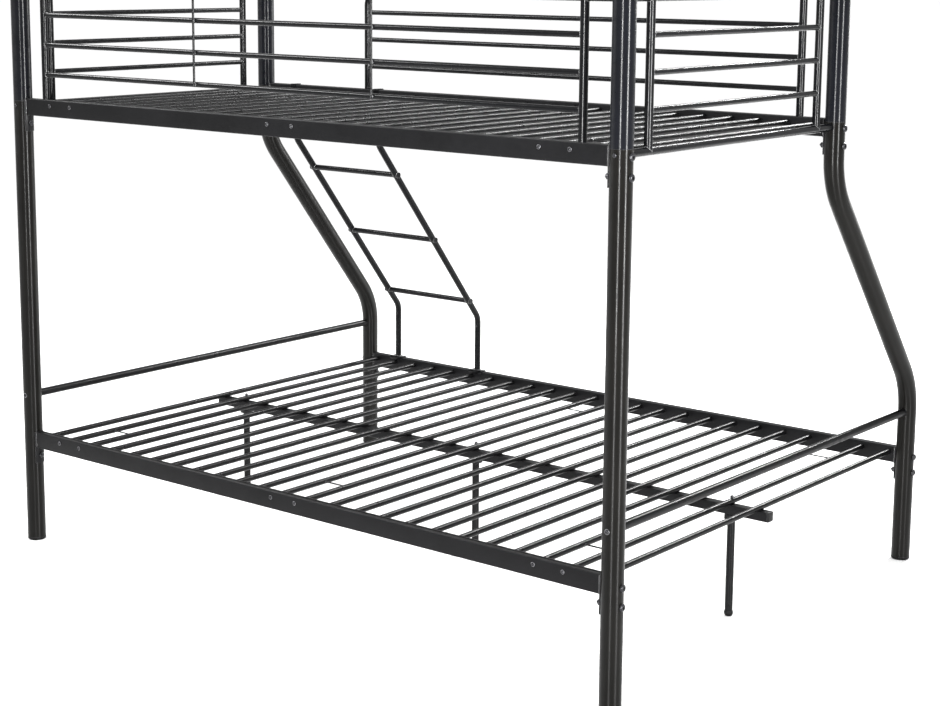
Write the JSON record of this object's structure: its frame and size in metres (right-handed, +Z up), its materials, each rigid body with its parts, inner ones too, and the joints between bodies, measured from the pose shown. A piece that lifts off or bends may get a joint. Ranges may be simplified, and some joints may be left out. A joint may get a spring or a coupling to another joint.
{
  "type": "bunk bed with ladder",
  "caption": "Steel tube bunk bed: a narrow upper deck over a wider lower deck, posts that lean out between them, slatted bases, barred guards and a bent ladder at one end.",
  "frame": {"origin": "centre of the bed's box, at floor level", "axes": "+X along the length, from the ladder's end to the plain end; +Y from the wall side to the ladder side; +Z up"},
  "size_m": [1.988, 1.448, 1.59],
  "materials": {
    "post_steel": "satin charcoal powder coat",
    "rail_steel": "satin charcoal powder coat",
    "frame_steel": "satin charcoal powder coat",
    "slat_steel": "satin charcoal powder coat",
    "plastic_caps": "black moulded plastic"
  },
  "bodies": {
    "root": {"beam_cap_ladder_end": "plastic_caps", "beam_cap_plain_end": "plastic_caps", "centre_beam": "frame_steel", "centre_leg_1": "frame_steel", "centre_leg_2": "frame_steel", "centre_leg_3": "frame_steel", "foot_cap_ladder_side_ladder_end": "plastic_caps", "foot_cap_ladder_side_plain_end": "plastic_caps", "foot_cap_wall_ladder_end": "plastic_caps", "foot_cap_wall_plain_end": "plastic_caps", "guard_ladder_side": "frame_steel", "guard_wall_side": "frame_steel", "ladder": "frame_steel", "leg_cap_1": "plastic_caps", "leg_cap_2": "plastic_caps", "leg_cap_3": "plastic_caps", "lower_end_bar_ladder_end": "frame_steel", "lower_end_bar_plain_end": "frame_steel", "lower_post_ladder_side_ladder_end": "post_steel", "lower_post_ladder_side_plain_end": "post_steel", "lower_post_wall_ladder_end": "post_steel", "lower_post_wall_plain_end": "post_steel", "lower_rail_ladder_side": "rail_steel", "lower_rail_wall_side": "rail_steel", "lower_slat_01": "slat_steel", "lower_slat_04": "slat_steel", "lower_slat_05": "slat_steel", "lower_slat_06": "slat_steel", "lower_slat_07": "slat_steel", "lower_slat_08": "slat_steel", "lower_slat_09": "slat_steel", "lower_slat_10": "slat_steel", "lower_slat_11": "slat_steel", "lower_slat_14": "slat_steel", "lower_slat_15": "slat_steel", "lower_slat_16": "slat_steel", "lower_slat_17": "slat_steel", "lower_slat_18": "slat_steel", "lower_slat_19": "slat_steel", "lower_slat_20": "slat_steel", "lower_slat_21": "slat_steel", "lower_slat_24": "slat_steel", "lower_tied_slats_1": "slat_steel", "lower_tied_slats_2": "slat_steel", "lower_tied_slats_3": "slat_steel", "top_cap_ladder_side_ladder_end": "plastic_caps", "top_cap_ladder_side_plain_end": "plastic_caps", "top_cap_wall_ladder_end": "plastic_caps", "top_cap_wall_plain_end": "plastic_caps", "upper_end_panel_ladder_end": "frame_steel", "upper_end_panel_plain_end": "frame_steel", "upper_post_ladder_side_ladder_end": "post_steel", "upper_post_ladder_side_plain_end": "post_steel", "upper_post_wall_ladder_end": "post_steel", "upper_post_wall_plain_end": "post_steel", "upper_rail_ladder_side": "rail_steel", "upper_rail_wall_side": "rail_steel", "upper_tied_slats_1": "slat_steel", "upper_tied_slats_2": "slat_steel", "upper_tied_slats_3": "slat_steel"}
  },
  "joints": []
}
